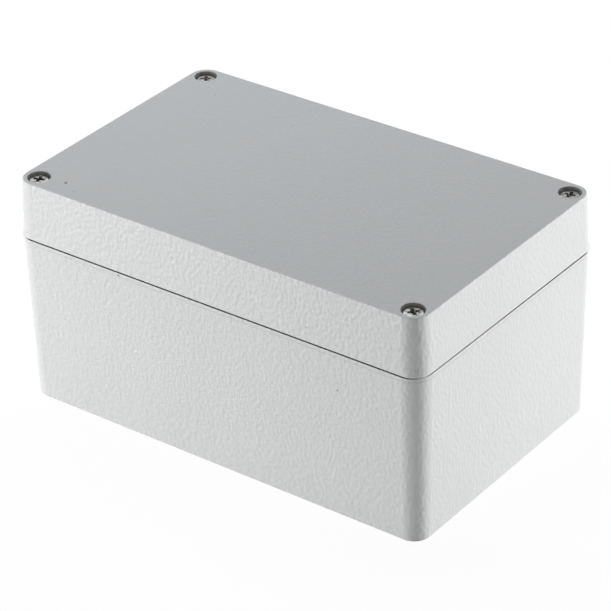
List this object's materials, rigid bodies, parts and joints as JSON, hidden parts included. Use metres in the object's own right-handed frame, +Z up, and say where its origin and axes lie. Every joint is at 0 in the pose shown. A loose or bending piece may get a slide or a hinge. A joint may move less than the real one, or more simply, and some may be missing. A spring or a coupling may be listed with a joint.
{
  "type": "die cast aluminium enclosure box",
  "caption": "Rectangular sealed die cast aluminium enclosure with rounded corners, light grey powder coat, gasketed lift-off lid and sunk captive corner screws.",
  "frame": {"origin": "middle of the underside of the base, on the surface it stands on", "axes": "+X along the length, +Y across the width towards the rear long side, +Z up through the lid"},
  "size_m": [0.16, 0.1, 0.081],
  "materials": {
    "powder_coat": "satin",
    "seal_rubber": "matte",
    "stainless_steel": "satin",
    "ring_plastic": "matte",
    "zinc_steel": "satin",
    "brass_plate": "satin"
  },
  "bodies": {
    "base": {"base": "powder_coat", "base_earth_lock_washer": "zinc_steel", "base_earth_clamp": "brass_plate", "base_earth_screw": "brass_plate"},
    "lid": {"lid": "powder_coat", "gasket": "seal_rubber", "lid_earth_lock_washer": "zinc_steel", "lid_earth_clamp": "brass_plate", "lid_earth_screw": "brass_plate"},
    "retaining_ring_front_left": {"retaining_ring_front_left": "ring_plastic"},
    "lid_screw_front_left": {"lid_screw_front_left": "stainless_steel"},
    "retaining_ring_front_right": {"retaining_ring_front_right": "ring_plastic"},
    "lid_screw_front_right": {"lid_screw_front_right": "stainless_steel"},
    "retaining_ring_rear_right": {"retaining_ring_rear_right": "ring_plastic"},
    "lid_screw_rear_right": {"lid_screw_rear_right": "stainless_steel"},
    "retaining_ring_rear_left": {"retaining_ring_rear_left": "ring_plastic"},
    "lid_screw_rear_left": {"lid_screw_rear_left": "stainless_steel"}
  },
  "joints": [
    {"name": "lid_lift", "type": "slide", "parent": "base", "child": "lid", "axis": [0, 0, 1], "range_m": [0, 0.1]},
    {"name": "screw_rise_front_left", "type": "slide", "parent": "lid", "child": "retaining_ring_front_left", "axis": [0, 0, 1], "range_m": [0, 0.0095]},
    {"name": "screw_turn_front_left", "type": "hinge", "parent": "retaining_ring_front_left", "child": "lid_screw_front_left", "pos_m": [-0.0735, -0.0435, 0.0769], "axis": [0, 0, 1], "range_deg": [0, 4885.72]},
    {"name": "screw_rise_front_right", "type": "slide", "parent": "lid", "child": "retaining_ring_front_right", "axis": [0, 0, 1], "range_m": [0, 0.0095]},
    {"name": "screw_turn_front_right", "type": "hinge", "parent": "retaining_ring_front_right", "child": "lid_screw_front_right", "pos_m": [0.0735, -0.0435, 0.0769], "axis": [0, 0, 1], "range_deg": [0, 4885.72]},
    {"name": "screw_rise_rear_right", "type": "slide", "parent": "lid", "child": "retaining_ring_rear_right", "axis": [0, 0, 1], "range_m": [0, 0.0095]},
    {"name": "screw_turn_rear_right", "type": "hinge", "parent": "retaining_ring_rear_right", "child": "lid_screw_rear_right", "pos_m": [0.0735, 0.0435, 0.0769], "axis": [0, 0, 1], "range_deg": [0, 4885.72]},
    {"name": "screw_rise_rear_left", "type": "slide", "parent": "lid", "child": "retaining_ring_rear_left", "axis": [0, 0, 1], "range_m": [0, 0.0095]},
    {"name": "screw_turn_rear_left", "type": "hinge", "parent": "retaining_ring_rear_left", "child": "lid_screw_rear_left", "pos_m": [-0.0735, 0.0435, 0.0769], "axis": [0, 0, 1], "range_deg": [0, 4885.72]}
  ],
  "couplings": [
    {"joint": "screw_turn_front_left", "follows": "screw_rise_front_left", "rad_per_m": 8976},
    {"joint": "screw_turn_front_right", "follows": "screw_rise_front_right", "rad_per_m": 8976},
    {"joint": "screw_turn_rear_right", "follows": "screw_rise_rear_right", "rad_per_m": 8976},
    {"joint": "screw_turn_rear_left", "follows": "screw_rise_rear_left", "rad_per_m": 8976}
  ]
}
